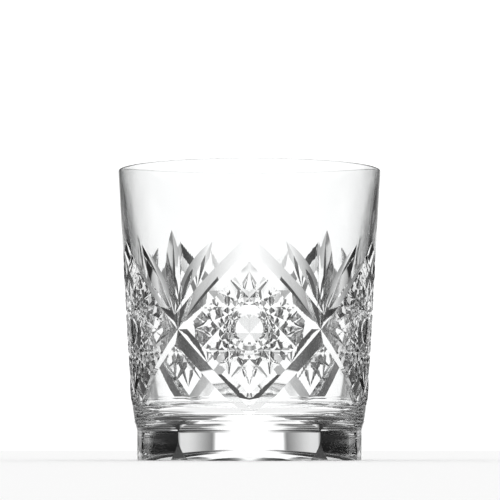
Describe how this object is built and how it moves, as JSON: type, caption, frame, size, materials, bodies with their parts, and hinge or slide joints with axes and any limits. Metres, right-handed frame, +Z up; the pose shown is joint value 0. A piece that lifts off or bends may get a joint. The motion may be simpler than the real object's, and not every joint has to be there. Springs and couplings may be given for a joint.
{
  "type": "whiskey tumbler",
  "caption": "Heavy cut-glass whiskey tumbler with star, fan and crossed-band cuts and a fluted base.",
  "frame": {"origin": "centre of the underside, on the surface that the tumbler stands on", "axes": "+Z up along the axis of the bowl, -Y towards the middle of the front star"},
  "size_m": [0.084, 0.084, 0.0925],
  "materials": {
    "glass": "polished"
  },
  "bodies": {
    "root": {"tumbler": "glass"}
  },
  "joints": []
}
